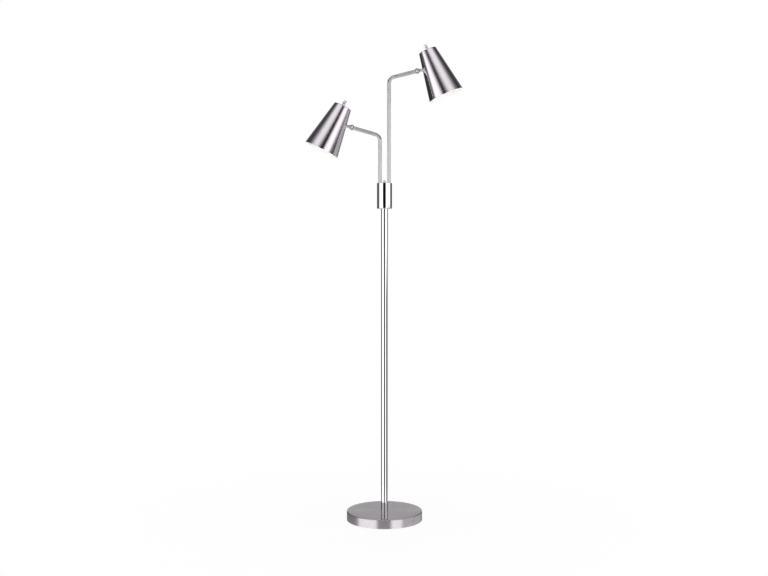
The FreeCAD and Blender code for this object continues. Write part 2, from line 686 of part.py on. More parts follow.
def neck(side):
    """The head's half of the knuckle: tongue, neck and the stud through the shade's wall."""
    title = side.title()
    clear = "(#knuckle_dia / 2 + #tongue_gap)"
    tongue = cylinder(f"{title}TongueDisc", "#knuckle_dia / 2", "#tongue_thick",
                      y="#tongue_thick / 2", turn="90", about=Vector(1, 0, 0))
    strip = box(f"{title}TongueStrip", "#neck_dia", "#tongue_thick", clear, "-#neck_dia / 2",
                "-#tongue_thick / 2", "0")
    bar = cylinder(f"{title}NeckBar", "#neck_dia / 2", f"#neck_length + #neck_dia / 4 - {clear}",
                   z=clear)
    solid = fuse(f"{title}NeckStrip", fuse(f"{title}NeckTongue", tongue, strip), bar)
    hole = cylinder(f"{title}TongueHole", "#pin_dia / 2 + #running_gap", "#tongue_thick",
                    y="#tongue_thick / 2", turn="90", about=Vector(1, 0, 0))
    solid = place_neck(cut(f"{title}NeckBored", solid, hole), side)
    seated = cut(f"{title}NeckSeated", solid, cone(f"{title}NeckCone", side, "0"))
    stud = cylinder(f"{title}Stud", "#stud_dia / 2", "#small_nut + #nipple_tail + #tongue_thick")
    place_neck(stud, side, "(#neck_length - #tongue_thick / 2)")
    keep(fuse(f"{title}Neck", seated, stud), f"{side}_neck")
    nut = hex_nut(f"{title}NeckNutBlank", "#small_nut_flats", "#small_nut", "#stud_dia",
                  low="#neck_length")
    place_neck(nut, side)
    fitted = common(f"{title}NeckNut", nut, cone(f"{title}NutCone", side, "#shade_wall"))
    keep(fitted, f"{side}_neck_nut")


def switch(side):
    title = side.title()
    collar = "#switch_dia / 2"
    pocket = "(-#shade_wall - #switch_pocket)"
    bore = "(#spindle_dia / 2 + #running_gap)"
    body = lathe(f"{title}SwitchBody", [
        (bore, pocket),
        ("#switch_body_dia / 2", pocket),
        ("#switch_body_dia / 2", "-#shade_wall"),
        (collar, "-#shade_wall"),
        (collar, "#switch_reach"),
        (bore, "#switch_reach"),
    ])
    keep(place_head(body, side), f"{side}_switch_body")
    nut = ring(f"{title}RingNut", "#ring_nut_dia / 2", collar, "0", "#ring_nut")
    keep(place_head(nut, side), f"{side}_ring_nut")
    low = "(#ring_nut + #knob_lift)"
    well = f"({low} + #knob_well)"
    tip = f"({low} + #knob_height)"
    knob = lathe(f"{title}Knob", [
        (f"{collar} + 2 * #knob_lift", low),
        ("#knob_dia / 2", low),
        ("#knob_dia / 2", f"{tip} - #knob_edge"),
        ("#knob_dia / 2 - #knob_edge", tip, "#knob_edge", 1),
        ("0", tip),
        ("0", f"{well} + #spindle_grip"),
        ("#spindle_dia / 2", f"{well} + #spindle_grip"),
        ("#spindle_dia / 2", well),
        (f"{collar} + 2 * #knob_lift", well),
    ])
    keep(place_head(knob, side), f"{side}_knob")
    spindle = disc(f"{title}Spindle", "#spindle_dia / 2", pocket, f"{well} + #spindle_grip")
    keep(place_head(spindle, side), f"{side}_spindle")


def lampholder(side):
    title = side.title()
    pocket = "(-#shade_wall - #switch_pocket)"
    seat = "#switch_body_dia / 2"
    holder = lathe(f"{title}Holder", [
        (seat, "-#shade_wall"),
        (seat, pocket),
        ("0", pocket),
        ("0", HOLDER_HOLLOW),
        ("#holder_bore / 2", HOLDER_HOLLOW),
        ("#holder_bore / 2", HOLDER_END),
        ("#holder_dia / 2", HOLDER_END),
        ("#holder_dia / 2", "-#shade_wall"),
    ])
    keep(place_head(holder, side), f"{side}_lampholder")
    shell = lathe(f"{title}ScrewShell", [
        (SHELL_IN, HOLDER_HOLLOW),
        ("#holder_bore / 2", HOLDER_HOLLOW),
        ("#holder_bore / 2", f"{HOLDER_HOLLOW} - #shell_wall"),
        ("#shell_dia / 2", f"{HOLDER_HOLLOW} - #shell_wall"),
        ("#shell_dia / 2", f"{HOLDER_HOLLOW} - #shell_length"),
        (SHELL_IN, f"{HOLDER_HOLLOW} - #shell_length"),
    ])
    keep(place_head(shell, side), f"{side}_screw_shell")
    contact = disc(f"{title}Contact", "#contact_dia / 2", BULB_TOP, HOLDER_HOLLOW)
    keep(place_head(contact, side), f"{side}_centre_contact")


def bulb(side):
    title = side.title()
    cap = lathe(f"{title}BulbCap", [
        ("0", BULB_TOP),
        ("0", BULB_NECK),
        (BULB_CAP_R, BULB_NECK),
        (BULB_CAP_R, f"{BULB_TOP} - #bulb_tip"),
        ("#bulb_tip_dia / 2", BULB_TOP),
    ])
    keep(place_head(cap, side), f"{side}_bulb_cap")
    slope = "#bulb_slope_deg"
    run = f"((#bulb_dia / 2 - {BULB_CAP_R} * cos({slope})) / sin({slope}))"
    centre = f"({BULB_NECK} - {run})"
    inside = "(#bulb_dia / 2 - #bulb_wall)"
    inside_neck = f"(({inside} - {run} * sin({slope})) / cos({slope}))"
    globe = lathe(f"{title}Bulb", [
        (inside_neck, BULB_NECK),
        (BULB_CAP_R, BULB_NECK),
        (f"#bulb_dia / 2 * cos({slope})", f"{centre} + #bulb_dia / 2 * sin({slope})"),
        ("0", f"{centre} - #bulb_dia / 2", "#bulb_dia / 2", -1),
        ("0", f"{centre} - {inside}"),
        (f"{inside} * cos({slope})", f"{centre} + {inside} * sin({slope})", inside, 1),
    ])
    keep(place_head(globe, side), f"{side}_bulb")


def head(side):
    shade(side)
    neck(side)
    switch(side)
    lampholder(side)
    bulb(side)


base_cover()
base_weight()
cord_bush()
base_fixings()
pole()
junction()
junction_discs()
for side in SIDES:
    arm(side)
    head(side)
doc.recompute()

# ---------------------------------------------------------------- checks and export

for item in doc.Objects:
    for state in item.State:
        if state in ("Invalid", "Error"):
            raise RuntimeError(f"{item.Name} is {state}")

labels = [piece.Label for piece in parts]
if len(set(labels)) != len(labels):
    raise RuntimeError("two pieces share a name")

os.makedirs("parts", exist_ok=True)
for piece in parts:
    if piece.Shape.isNull() or not piece.Shape.isValid() or not piece.Shape.Solids:
        raise RuntimeError(f"{piece.Label} has no valid solid")
    piece.Shape.exportStep(f"parts/{piece.Label}.step")
    box_size = piece.Shape.BoundBox
    print(f"{piece.Label:24s} solids {len(piece.Shape.Solids)} volume {piece.Shape.Volume:10.1f} "
          f"z {box_size.ZMin:8.2f} to {box_size.ZMax:8.2f}")
print(len(parts), "pieces")
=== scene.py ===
import json
import math

import bmesh
import bpy
from mathutils import Matrix, Vector


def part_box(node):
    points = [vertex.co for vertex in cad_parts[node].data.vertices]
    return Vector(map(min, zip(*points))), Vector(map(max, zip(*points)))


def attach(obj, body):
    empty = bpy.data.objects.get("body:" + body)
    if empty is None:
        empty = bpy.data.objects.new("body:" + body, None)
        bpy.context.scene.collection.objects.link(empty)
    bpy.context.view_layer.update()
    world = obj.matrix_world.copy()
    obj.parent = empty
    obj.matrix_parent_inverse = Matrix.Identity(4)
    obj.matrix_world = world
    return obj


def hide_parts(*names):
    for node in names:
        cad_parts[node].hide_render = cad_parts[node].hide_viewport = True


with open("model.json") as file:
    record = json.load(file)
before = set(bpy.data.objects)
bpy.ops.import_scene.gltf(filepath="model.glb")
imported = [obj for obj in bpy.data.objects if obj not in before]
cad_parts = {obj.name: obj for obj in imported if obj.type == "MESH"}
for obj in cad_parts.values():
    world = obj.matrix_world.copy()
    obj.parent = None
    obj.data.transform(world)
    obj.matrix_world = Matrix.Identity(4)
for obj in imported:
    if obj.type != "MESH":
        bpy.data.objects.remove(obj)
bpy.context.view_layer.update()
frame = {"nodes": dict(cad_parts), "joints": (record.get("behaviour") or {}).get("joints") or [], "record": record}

# The looks of a two-light floor lamp: turned and brushed nickel on the base and the shades,
# polished nickel on the pole and the junction, satin nickel on the arms. Metres, +Z up.

MM = 0.001
SIDES = ("tall", "short")
GRAIN_MAP = "grain"
SIDEWAYS = Vector((0, 1, 0))    # square to the plane in which both arms lie
JOINTS = {joint["name"]: joint for joint in frame["joints"]}
NODES = frame["nodes"]


def link(item):
    """Put a new object into the scene."""
    bpy.context.scene.collection.objects.link(item)
    return item


def outward(side):
    """+1 for the arm that reaches right, -1 for the one that reaches left."""
    return 1 if side == "tall" else -1


# ---------------------------------------------------------------- camera

CAMERA_PLACE = (-0.0016, -3.22, 0.862)
CAMERA_DOWN_DEG = 1.684
CAMERA_LENS = 45.8
SENSOR_WIDTH = 36.0


def add_camera():
    """The photograph's view: from the front, a little above the lamp's middle."""
    data = bpy.data.cameras.new("camera")
    data.lens = CAMERA_LENS
    data.sensor_width = SENSOR_WIDTH
    camera = link(bpy.data.objects.new("camera", data))
    camera.location = CAMERA_PLACE
    camera.rotation_euler = (math.radians(90 - CAMERA_DOWN_DEG), 0, 0)
    bpy.context.scene.camera = camera


# ---------------------------------------------------------------- node helpers


class Graph:
    """A short way to add and join shader nodes."""

    def __init__(self, tree):
        self.tree = tree
        tree.nodes.clear()

    def add(self, kind, settings=None, **inputs):
        node = self.tree.nodes.new(kind)
        for name, value in (settings or {}).items():
            setattr(node, name, value)
        for name, value in inputs.items():
            self.feed(node, name.replace("_", " "), value)
        return node

    def feed(self, node, name, value):
        socket = node.inputs[int(name)] if name.isdigit() else node.inputs[name]
        if isinstance(value, bpy.types.NodeSocket):
            self.tree.links.new(value, socket)
        else:
            socket.default_value = value

    def math(self, operation, *values):
        node = self.tree.nodes.new("ShaderNodeMath")
        node.operation = operation
        for index, value in enumerate(values):
            self.feed(node, str(index), value)
        return node.outputs[0]

    def ramp(self, fac, stops):
        """A straight colour ramp of (position, grey or colour) stops."""
        node = self.tree.nodes.new("ShaderNodeValToRGB")
        node.color_ramp.interpolation = "LINEAR"
        elements = node.color_ramp.elements
        while len(elements) > 1:
            elements.remove(elements[-1])
        for index, (position, value) in enumerate(stops):
            element = elements[0] if index == 0 else elements.new(position)
            element.position = position
            colour = value if isinstance(value, tuple) else (value, value, value)
            element.color = (*colour, 1.0)
        self.feed(node, "Fac", fac)
        return node.outputs["Color"]

    def noise(self, vector, scale, detail=2.0, roughness=0.5):
        node = self.add("ShaderNodeTexNoise", Scale=scale, Detail=detail, Roughness=roughness)
        self.feed(node, "Vector", vector)
        return node.outputs["Fac"]

    def spread(self, fac, low, high, near=0.35, far=0.65):
        """Map near to far onto low to high, and hold both ends. The defaults suit noise."""
        node = self.tree.nodes.new("ShaderNodeMapRange")
        for index, value in enumerate((fac, near, far, low, high)):
            self.feed(node, str(index), value)
        return node.outputs[0]

    def mix_colour(self, fac, first, second):
        node = self.tree.nodes.new("ShaderNodeMix")
        node.data_type = "RGBA"
        self.feed(node, "0", fac)
        for index, value in ((6, first), (7, second)):
            if isinstance(value, tuple):
                value = (*value, 1.0)
            self.feed(node, str(index), value)
        return node.outputs[2]

    def mix_shader(self, fac, first, second):
        node = self.tree.nodes.new("ShaderNodeMixShader")
        for index, value in enumerate((fac, first, second)):
            self.feed(node, str(index), value)
        return node.outputs[0]

    def finish(self, kind, surface):
        """Join a shader to a new output node."""
        output = self.tree.nodes.new(kind)
        self.tree.links.new(surface, output.inputs["Surface"])

    def object_xyz(self):
        """The object coordinates, whole and split into X, Y and Z."""
        coordinates = self.tree.nodes.new("ShaderNodeTexCoord")
        split = self.add("ShaderNodeSeparateXYZ", Vector=coordinates.outputs["Object"])
        return coordinates.outputs["Object"], split.outputs

    def turned(self, around=0.35):
        """Coordinates whose noise makes fine lines round the piece's own Z axis. They change
        by `around` millimetres for each radian."""
        _, xyz = self.object_xyz()
        radius = self.math("SQRT", self.math("ADD", self.math("MULTIPLY", xyz[0], xyz[0]),
                                             self.math("MULTIPLY", xyz[1], xyz[1])))
        angle = self.math("ARCTAN2", xyz[1], xyz[0])
        # the angle is folded, so that the lines meet without a seam
        fold = self.math("MULTIPLY", self.math("ABSOLUTE", angle), around * MM)
        joined = self.tree.nodes.new("ShaderNodeCombineXYZ")
        for index, value in enumerate((radius, xyz[2], fold)):
            self.feed(joined, str(index), value)
        return joined.outputs[0]


def principled(name, colour, roughness, metallic=0.0):
    """A material with one Principled shader: (material, graph, shader node)."""
    material = bpy.data.materials.new(name)
    material.use_nodes = True
    graph = Graph(material.node_tree)
    shader = graph.add("ShaderNodeBsdfPrincipled", Roughness=roughness, Metallic=metallic)
    shader.inputs["Base Color"].default_value = (*colour, 1.0)
    graph.finish("ShaderNodeOutputMaterial", shader.outputs[0])
    return material, graph, shader


def bump(graph, shader, height, distance, strength=1.0):
    node = graph.add("ShaderNodeBump", Strength=strength, Distance=distance)
    graph.feed(node, "Height", height)
    graph.feed(shader, "Normal", node.outputs["Normal"])


def tinted(colour, factor):
    """The colour made lighter or darker by a factor, held at full white."""
    return tuple(min(part * factor, 1.0) for part in colour)


def brush(graph, shader, anisotropy, **tangent):
    """Stretch the shader's reflections across fine lines that follow a tangent."""
    shader.inputs["Anisotropic"].default_value = anisotropy
    node = graph.add("ShaderNodeTangent", tangent)
    graph.feed(shader, "Tangent", node.outputs[0])


# ---------------------------------------------------------------- materials

QUARTER_TURN = 0.25     # turns the stretched reflections from along the lines to across them


def turned_nickel(name, colour, roughness, grain=1.0):
    """Nickel brushed round the piece's own axis, as a spun cover or shade is. A grain below 1
    makes coarser lines."""
    material, graph, shader = principled(name, colour, roughness, 1.0)
    lines = graph.turned()
    fine = graph.noise(lines, scale=2600.0 * grain, detail=3.0, roughness=0.7)
    broad = graph.noise(lines, scale=260.0 * grain, detail=2.0, roughness=0.6)
    both = graph.math("ADD", graph.math("MULTIPLY", fine, 0.65), graph.math("MULTIPLY", broad, 0.35))
    dark, light = tinted(colour, 0.86), tinted(colour, 1.05)
    graph.feed(shader, "Base Color", graph.mix_colour(graph.spread(both, 0.0, 1.0), dark, light))
    graph.feed(shader, "Roughness", graph.spread(both, roughness * 0.8, roughness * 1.25))
    bump(graph, shader, both, distance=0.000012, strength=0.25)
    brush(graph, shader, 1.0, direction_type="RADIAL", axis="Z")
    shader.inputs["Anisotropic Rotation"].default_value = QUARTER_TURN
    return material


def polished_nickel(name, colour, roughness):
    """Bright plate with the faint haze and wipe marks of handling."""
    material, graph, shader = principled(name, colour, roughness, 1.0)
    place, _ = graph.object_xyz()
    haze = graph.noise(place, scale=22.0, detail=4.0, roughness=0.6)
    graph.feed(shader, "Roughness", graph.spread(haze, roughness * 0.7, roughness * 1.6))
    wipe = graph.noise(graph.turned(around=2.0), scale=420.0, detail=2.0, roughness=0.5)
    dark, light = tinted(colour, 0.96), tinted(colour, 1.03)
    graph.feed(shader, "Base Color", graph.mix_colour(graph.spread(wipe, 0.0, 1.0), dark, light))
    bump(graph, shader, haze, distance=0.00002, strength=0.1)
    return material


def satin_nickel(name, colour, roughness):
    """Fine satin plate: short soft scratches in all directions."""
    material, graph, shader = principled(name, colour, roughness, 1.0)
    place, _ = graph.object_xyz()
    grain = graph.noise(place, scale=1500.0, detail=3.0, roughness=0.65)
    cloud = graph.noise(place, scale=30.0, detail=3.0, roughness=0.5)
    graph.feed(shader, "Roughness", graph.spread(grain, roughness * 0.85, roughness * 1.2))
    dark = tinted(colour, 0.93)
    graph.feed(shader, "Base Color", graph.mix_colour(graph.spread(cloud, 0.0, 1.0), dark, colour))
    bump(graph, shader, grain, distance=0.00001, strength=0.15)
    return material


def drawn_nickel(name, colour, roughness):
    """Satin tube: fine lines along its length, from the sweep's own grain map."""
    material, graph, shader = principled(name, colour, roughness, 1.0)
    grain_map = graph.add("ShaderNodeUVMap", {"uv_map": GRAIN_MAP})
    lines = graph.noise(grain_map.outputs[0], scale=1.0, detail=3.0, roughness=0.65)
    graph.feed(shader, "Roughness", graph.spread(lines, roughness * 0.85, roughness * 1.2))
    dark = tinted(colour, 0.92)
    graph.feed(shader, "Base Color", graph.mix_colour(graph.spread(lines, 0.0, 1.0), dark, colour))
    bump(graph, shader, lines, distance=0.00001, strength=0.2)
    brush(graph, shader, 0.9, direction_type="UV_MAP", uv_map=GRAIN_MAP)
    return material


def zinc_steel():
    """Zinc-plated steel with its soft yellow-grey spangle."""
    material, graph, shader = principled("zinc_steel_look", (0.55, 0.56, 0.56), 0.4, 1.0)
    place, _ = graph.object_xyz()
    spangle = graph.noise(place, scale=260.0, detail=3.0, roughness=0.6)
    tone = graph.mix_colour(graph.spread(spangle, 0.0, 1.0), (0.50, 0.50, 0.47), (0.64, 0.66, 0.67))
    graph.feed(shader, "Base Color", tone)
    graph.feed(shader, "Roughness", graph.spread(spangle, 0.3, 0.5))
    bump(graph, shader, graph.noise(place, scale=1200.0), distance=0.00002, strength=0.4)
    return material


def cast_iron():
    """Rough sand-cast iron with a brown tinge here and there."""
    material, graph, shader = principled("cast_iron_look", (0.12, 0.12, 0.12), 0.75, 0.6)
    place, _ = graph.object_xyz()
    sand = graph.noise(place, scale=600.0, detail=6.0, roughness=0.7)
    cloud = graph.noise(place, scale=40.0, detail=4.0)
    tone = graph.mix_colour(cloud, (0.07, 0.07, 0.075), (0.20, 0.18, 0.16))
    graph.feed(shader, "Base Color", tone)
    graph.feed(shader, "Roughness", graph.spread(sand, 0.6, 0.9))
    bump(graph, shader, sand, distance=0.0004, strength=0.8)
    return material


def moulded(name, colour, roughness):
    """Moulded plastic or phenolic: a fine orange-peel surface."""
    material, graph, shader = principled(name, colour, roughness)
    place, _ = graph.object_xyz()
    peel = graph.noise(place, scale=900.0, detail=3.0, roughness=0.55)
    cloud = graph.noise(place, scale=35.0, detail=3.0)
    light = tuple(min(part * 1.25 + 0.004, 1.0) for part in colour)
    graph.feed(shader, "Base Color", graph.mix_colour(graph.spread(cloud, 0.0, 1.0), colour, light))
    graph.feed(shader, "Roughness", graph.spread(peel, roughness * 0.85, roughness * 1.2))
    bump(graph, shader, peel, distance=0.00004, strength=0.5)
    return material


def foam():
    """Closed-cell foam: many small dark cells."""
    material, graph, shader = principled("foam_look", (0.04, 0.04, 0.042), 0.92)
    place, _ = graph.object_xyz()
    cells = graph.add("ShaderNodeTexVoronoi", Scale=900.0)
    graph.feed(cells, "Vector", place)
    stops = [(0.0, (0.02, 0.02, 0.021)), (0.7, (0.06, 0.06, 0.062))]
    tone = graph.ramp(cells.outputs["Distance"], stops)
    graph.feed(shader, "Base Color", tone)
    bump(graph, shader, cells.outputs["Distance"], distance=0.0002, strength=0.7)
    return material


def brass():
    """Plain brass with a light, cloudy tarnish."""
    material, graph, shader = principled("brass_look", (0.78, 0.58, 0.26), 0.3, 1.0)
    place, _ = graph.object_xyz()
    tarnish = graph.noise(place, scale=120.0, detail=4.0, roughness=0.6)
    tone = graph.mix_colour(graph.spread(tarnish, 0.0, 1.0), (0.62, 0.43, 0.18), (0.84, 0.66, 0.33))
    graph.feed(shader, "Base Color", tone)
    graph.feed(shader, "Roughness", graph.spread(tarnish, 0.22, 0.42))
    bump(graph, shader, graph.noise(place, scale=900.0), distance=0.00002, strength=0.4)
    return material


def shade_paint():
    """The warm white enamel inside a shade."""
    material, graph, shader = principled("shade_paint", (0.95, 0.93, 0.90), 0.45)
    place, _ = graph.object_xyz()
    peel = graph.noise(place, scale=700.0, detail=3.0, roughness=0.5)
    cloud = graph.noise(place, scale=18.0, detail=3.0)
    tone = graph.mix_colour(cloud, (0.93, 0.91, 0.88), (0.97, 0.955, 0.93))
    graph.feed(shader, "Base Color", tone)
    graph.feed(shader, "Roughness", graph.spread(peel, 0.36, 0.55))
    bump(graph, shader, peel, distance=0.00005, strength=0.12)
    return material


def frosted_globe():
    """Frosted glass, which reads as an even warm white when it isn't lit."""
    material, graph, shader = principled("globe_look", (0.93, 0.92, 0.89), 0.38)
    place, _ = graph.object_xyz()
    frost = graph.noise(place, scale=1400.0, detail=3.0, roughness=0.6)
    cloud = graph.noise(place, scale=25.0, detail=2.0)
    tone = graph.mix_colour(cloud, (0.90, 0.89, 0.86), (0.96, 0.955, 0.93))
    graph.feed(shader, "Base Color", tone)
    graph.feed(shader, "Roughness", graph.spread(frost, 0.3, 0.48))
    bump(graph, shader, frost, distance=0.00003, strength=0.5)
    return material


NICKEL = (0.82, 0.77, 0.82)
COARSER_GRAIN = 0.8
# the look of each material slot; below it, the finishes of the base, the arms and the
# insides of the shades
LOOKS = {
    "brushed_nickel": turned_nickel("brushed_nickel_look", NICKEL, 0.085),
    "polished_nickel": polished_nickel("polished_nickel_look", (0.92, 0.91, 0.92), 0.04),
    "satin_nickel": satin_nickel("satin_nickel_look", (0.90, 0.89, 0.89), 0.36),
    "zinc_steel": zinc_steel(),
    "cast_weight": cast_iron(),
    "black_foam": foam(),
    "black_plastic": moulded("black_plastic_look", (0.025, 0.025, 0.026), 0.45),
    "phenolic": moulded("phenolic_look", (0.02, 0.018, 0.016), 0.28),
    "brass": brass(),
    "lead_jacket": moulded("lead_jacket_look", (0.70, 0.68, 0.62), 0.5),
    "bulb_cap": satin_nickel("bulb_cap_look", (0.80, 0.80, 0.80), 0.32),
    "bulb_globe": frosted_globe(),
}
BASE_NICKEL = turned_nickel("base_nickel_look", NICKEL, 0.15, COARSER_GRAIN)
RIM_NICKEL = turned_nickel("rim_nickel_look", NICKEL, 0.29, COARSER_GRAIN)
ARM_NICKEL = drawn_nickel("arm_nickel_look", (0.90, 0.89, 0.90), 0.42)
SHADE_PAINT = shade_paint()

# ---------------------------------------------------------------- mesh helpers

# facets round a turned piece
WIDE_FACETS = 256       # base cover and shades
FACETS = 160            # pole and junction
KNUCKLE_FACETS = 128
SMALL_FACETS = 96
SCREW_FACETS = 72       # pivot screws and the knobs' knurling
FINIAL_FACETS = 64
TUBE_FACETS = 48
EDGE_STEPS = 10         # steps of a rounded edge
SHARP_DEG = 32.0        # a steeper bend between two faces stays a sharp edge
ON_AXIS = 1e-9          # a smaller radius is a point on the axis
GRAIN_ROUND = 90.0      # grain map once round a tube
GRAIN_ALONG = 12.0      # grain map for each metre along it
PROBE = 0.1 * MM        # depth of the band in which an end's radius is measured


def arc(centre, radius, start_deg, end_deg, steps=EDGE_STEPS):
    """Profile points along an arc, both ends included."""
    points = []
    for index in range(steps + 1):
        turn = math.radians(start_deg + (end_deg - start_deg) * index / steps)
        points.append((centre[0] + radius * math.cos(turn), centre[1] + radius * math.sin(turn)))
    return points


def smooth(mesh):
    mesh.shade_smooth()
    mesh.set_sharp_from_angle(angle=math.radians(SHARP_DEG))


def add_piece(name, shape, materials, place=None):
    """Turn a built shape into a shaded piece of the scene."""
    bmesh.ops.recalc_face_normals(shape, faces=shape.faces[:])
    mesh = bpy.data.meshes.new(name)
    shape.to_mesh(mesh)
    shape.free()
    smooth(mesh)
    for material in materials:
        mesh.materials.append(material)
    piece = link(bpy.data.objects.new(name, mesh))
    if place is not None:
        piece.matrix_world = place
    return piece


def lathe(name, profile, materials, place=None, segments=FACETS, slot_of=None, knurl=None):
    """A turned piece about its own Z axis. The profile runs once round the section; slot_of
    gives the material slot of the stretch that starts at a profile point; knurl is the first
    and last profile point and the depth of straight knurling."""
    shape = bmesh.new()
    rings = []
    for index, (radius, height) in enumerate(profile):
        if radius < ON_AXIS:
            rings.append([shape.verts.new((0, 0, height))])
            continue
        groove = knurl[2] if knurl and knurl[0] <= index <= knurl[1] else 0.0
        ring = []
        for step in range(segments):
            turn = 2 * math.pi * step / segments
            out = radius - groove * (step % 2)
            ring.append(shape.verts.new((out * math.cos(turn), out * math.sin(turn), height)))
        rings.append(ring)
    for index, first in enumerate(rings):
        second = rings[(index + 1) % len(rings)]
        if len(first) == 1 and len(second) == 1:
            continue
        for step in range(segments):
            after = (step + 1) % segments
            corners = [first[step % len(first)], first[after % len(first)],
                       second[after % len(second)], second[step % len(second)]]
            corners = list(dict.fromkeys(corners))
            face = shape.faces.new(corners)
            face.material_index = slot_of(index) if slot_of else 0
    return add_piece(name, shape, materials, place)


def path_rings(shape, path, radius):
    """Rings of vertices square to a path in the XZ plane."""
    rings = []
    for index, centre in enumerate(path):
        before = path[max(index - 1, 0)]
        after = path[min(index + 1, len(path) - 1)]
        out = (after - before).normalized().cross(SIDEWAYS).normalized()
        ring = []
        for step in range(TUBE_FACETS):
            turn = 2 * math.pi * step / TUBE_FACETS
            spot = centre + out * radius * math.cos(turn) + SIDEWAYS * radius * math.sin(turn)
            ring.append(shape.verts.new(spot))
        rings.append(ring)
    return rings


def sweep(name, path, radius, inner, materials):
    """A bent tube along a path in the XZ plane, open at both ends with a real wall. Its grain
    map runs round the tube in U, finely, and along it in V, slowly."""
    shape = bmesh.new()
    grain = shape.loops.layers.uv.new(GRAIN_MAP)
    outer = path_rings(shape, path, radius)
    bore = path_rings(shape, path, inner)
    wall = radius - inner
    lengths = [0.0]
    for before, after in zip(path, path[1:]):
        lengths.append(lengths[-1] + (after - before).length)

    def quad(corners, spots):
        face = shape.faces.new(corners)
        for loop, (step, along) in zip(face.loops, spots):
            loop[grain].uv = (step / TUBE_FACETS * GRAIN_ROUND, along * GRAIN_ALONG)

    for rings in (outer, bore):
        for index in range(len(path) - 1):
            first, second = rings[index], rings[index + 1]
            low, high = lengths[index], lengths[index + 1]
            for step in range(TUBE_FACETS):
                after = (step + 1) % TUBE_FACETS
                quad([first[step], first[after], second[after], second[step]],
                     [(step, low), (step + 1, low), (step + 1, high), (step, high)])
    for end in (0, -1):
        for step in range(TUBE_FACETS):
            after = (step + 1) % TUBE_FACETS
            quad([outer[end][step], outer[end][after], bore[end][after], bore[end][step]],
                 [(step, 0), (step + 1, 0), (step + 1, wall), (step, wall)])
    return add_piece(name, shape, materials)


def stand_for(piece, node, body):
    """The piece rides on the body and is seen in place of the plain node."""
    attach(piece, body)
    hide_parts(node)


def frame_at(origin, axis):
    """A matrix at origin whose Z is the axis, which lies in the XZ plane, and whose Y is +Y."""
    up = Vector(axis).normalized()
    out = SIDEWAYS.cross(up)
    place = Matrix((out, SIDEWAYS, up)).transposed().to_4x4()
    place.translation = Vector(origin)
    return place


def local_points(node, place):
    """The node's own vertices, seen from the given place."""
    back = place.inverted()
    return [back @ vertex.co for vertex in NODES[node].data.vertices]


def heights(points):
    """The lowest and the highest Z among the points."""
    values = [point.z for point in points]
    return min(values), max(values)


def reach(points, low, high):
    """The largest distance from the Z axis among points between two heights."""
    return max(math.hypot(point.x, point.y) for point in points if low <= point.z <= high)


# ---------------------------------------------------------------- base, pole, junction

SHEET = 1.2 * MM        # wall of the base cover, the pole and the junction's sleeve


def base_cover():
    """The spun cover: a brushed flat top that rolls over into the rim, and a coarser rim."""
    low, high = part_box("base_cover")
    edge = 2.6 * MM
    hole = 5.2 * MM
    flat_inset = 20.0 * MM
    top_steps = 4
    outside = high.x
    profile = [(hole, high.z), (outside - edge - flat_inset, high.z)]
    rim_start = len(profile) + top_steps
    profile += arc((outside - edge, high.z - edge), edge, 90, 0)
    profile += [(outside, low.z), (outside - SHEET, low.z)]
    profile += arc((outside - edge, high.z - edge), edge - SHEET, 0, 90)
    rim_end = len(profile) - 1
    profile += [(hole, high.z - SHEET)]

    def rim_slot(index):
        return 1 if rim_start <= index < rim_end else 0

    piece = lathe("base_cover_spun", profile, [BASE_NICKEL, RIM_NICKEL],
                  segments=WIDE_FACETS, slot_of=rim_slot)
    stand_for(piece, "base_cover", "root")


def pole():
    """The polished tube, with a small bevel at both ends."""
    low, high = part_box("pole_tube")
    outside = high.x
    bevel = 0.25 * MM
    profile = [(outside - bevel, low.z), (outside, low.z + bevel), (outside, high.z - bevel),
               (outside - bevel, high.z), (outside - SHEET, high.z), (outside - SHEET, low.z)]
    piece = lathe("pole_tube_drawn", profile, [LOOKS["polished_nickel"]])
    stand_for(piece, "pole_tube", "root")


def junction():
    """The polished sleeve between the pole and the arms, with rounded edges."""
    low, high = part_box("junction_sleeve")
    edge = 1.1 * MM
    outside = high.x
    profile = [(outside - SHEET, low.z)]
    profile += arc((outside - edge, low.z + edge), edge, -90, 0)
    profile += arc((outside - edge, high.z - edge), edge, 0, 90)
    profile += [(outside - SHEET, high.z)]
    piece = lathe("junction_sleeve_turned", profile, [LOOKS["polished_nickel"]])
    stand_for(piece, "junction_sleeve", "root")


def finial():
    """The small turned cap nut on the junction's lid: a round foot, a fillet and a domed stem."""
    low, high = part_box("finial")
    foot = high.x
    shoulder = 1.7 * MM
    fillet = 0.6 * MM
    foot_top = low.z + 2 * shoulder
    stem = 3.7 * MM
    bore = 2.5 * MM
    bore_top = low.z + 8.0 * MM
    tip = 1.85 * MM
    bevel = 0.3 * MM
    profile = [(bore, low.z), (foot - bevel, low.z), (foot, low.z + bevel)]
    profile += arc((foot - shoulder, low.z + shoulder), shoulder, 0, 90)
    profile += arc((stem + fillet, foot_top + fillet), fillet, 270, 180, steps=5)
    profile += arc((stem - tip, high.z - tip), tip, 0, 90)
    profile += [(0, high.z), (0, bore_top), (bore, bore_top)]
    piece = lathe("finial_turned", profile, [LOOKS["polished_nickel"]],
                  segments=FINIAL_FACETS)
    stand_for(piece, "finial", "root")


# ---------------------------------------------------------------- arms

RISE_DEG = {"tall": 14.0, "short": 16.5}    # slope of each arm's upper stretch
BEND = 22.0 * MM        # bend radius of the tube's centre line
FORK_STUB = 11.5 * MM   # from the knuckle's pivot to the tube's end
ARM_RADIUS = 6.35 * MM
ARM_WALL = 1.2 * MM
BEND_STEPS = 28


